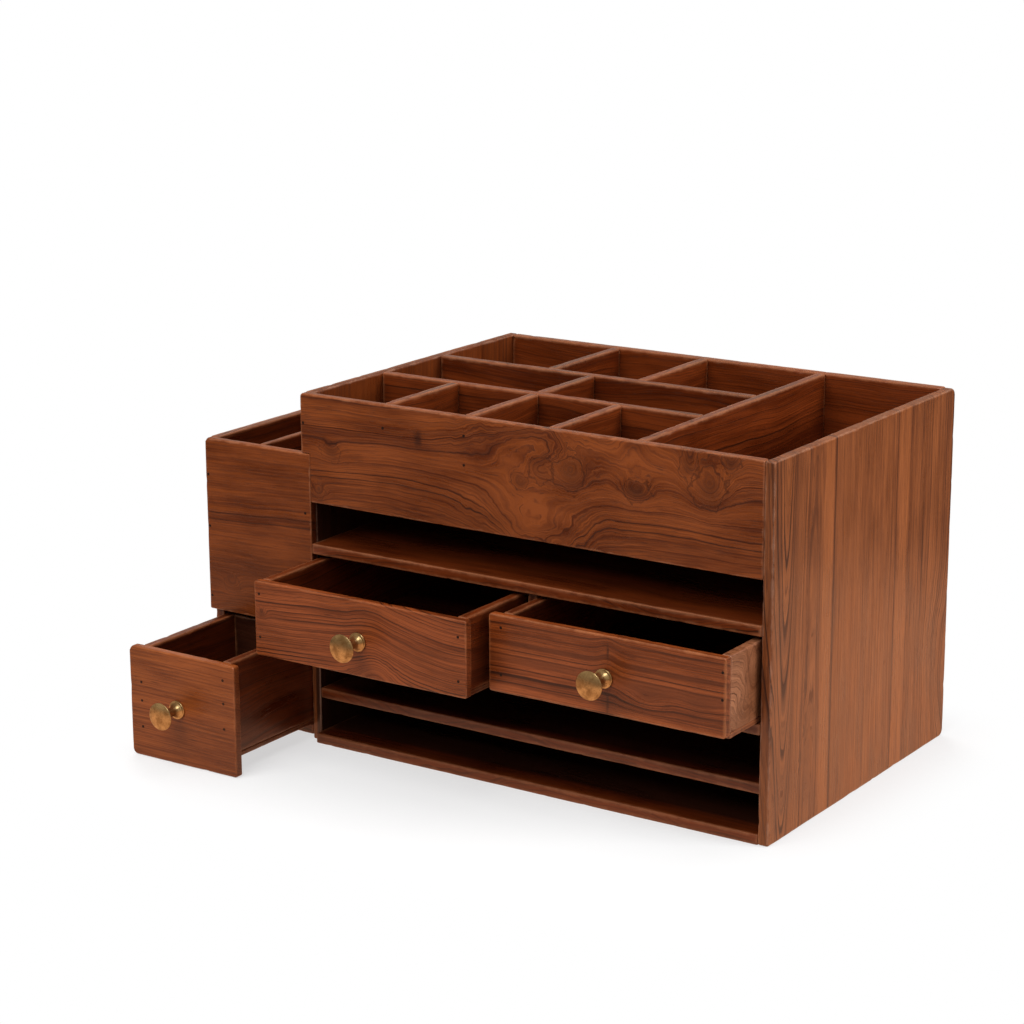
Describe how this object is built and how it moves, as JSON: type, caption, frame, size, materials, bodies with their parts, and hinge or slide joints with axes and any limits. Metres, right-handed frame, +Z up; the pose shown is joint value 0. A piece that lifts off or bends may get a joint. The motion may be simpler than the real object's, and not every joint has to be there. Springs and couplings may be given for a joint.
{
  "type": "wooden desk organizer with drawers",
  "caption": "Wooden desk organizer: divided top tray over open paper slots and sliding drawers with brass knobs, and a lower pen box with its own drawer on the left side.",
  "frame": {"origin": "centre of the case's underside, on the table", "axes": "+X to the right as seen from the front, +Y to the back, +Z up; drawers open towards -Y"},
  "size_m": [0.506, 0.4063, 0.28],
  "materials": {
    "teak": "oiled",
    "brass": "satin, worn",
    "steel": "darkened"
  },
  "bodies": {
    "case": {"left_panel": "teak", "right_panel": "teak", "back_panel": "teak", "apron": "teak", "bottom_board": "teak", "lower_shelf": "teak", "drawer_board": "teak", "upper_shelf": "teak", "tray_floor": "teak", "drawer_partition": "teak", "tray_long_divider": "teak", "tray_cross_divider_front": "teak", "tray_cross_divider_rear": "teak", "tray_front_divider_1": "teak", "tray_front_divider_2": "teak", "tray_front_divider_3": "teak", "tray_middle_divider": "teak", "tray_rear_divider_1": "teak", "tray_rear_divider_2": "teak", "pen_box_front": "teak", "pen_box_side": "teak", "pen_box_back": "teak", "pen_box_bottom": "teak", "pen_box_floor": "teak", "pen_box_divider": "teak", "case_nails": "steel"},
    "left_drawer": {"left_drawer_front": "teak", "left_drawer_left_side": "teak", "left_drawer_right_side": "teak", "left_drawer_back": "teak", "left_drawer_bottom": "teak", "left_drawer_knob": "brass", "left_drawer_knob_screw": "steel", "left_drawer_nails": "steel"},
    "right_drawer": {"right_drawer_front": "teak", "right_drawer_left_side": "teak", "right_drawer_right_side": "teak", "right_drawer_back": "teak", "right_drawer_bottom": "teak", "right_drawer_knob": "brass", "right_drawer_knob_screw": "steel", "right_drawer_nails": "steel"},
    "side_drawer": {"side_drawer_front": "teak", "side_drawer_left_side": "teak", "side_drawer_right_side": "teak", "side_drawer_back": "teak", "side_drawer_bottom": "teak", "side_drawer_knob": "brass", "side_drawer_knob_screw": "steel", "side_drawer_nails": "steel"}
  },
  "joints": [
    {"name": "left_drawer_slide", "type": "slide", "parent": "case", "child": "left_drawer", "axis": [0, -1, 0], "range_m": [-0.0715, 0.1285]},
    {"name": "right_drawer_slide", "type": "slide", "parent": "case", "child": "right_drawer", "axis": [0, -1, 0], "range_m": [-0.045, 0.155]},
    {"name": "side_drawer_slide", "type": "slide", "parent": "case", "child": "side_drawer", "axis": [0, -1, 0], "range_m": [-0.097, 0.004]}
  ]
}
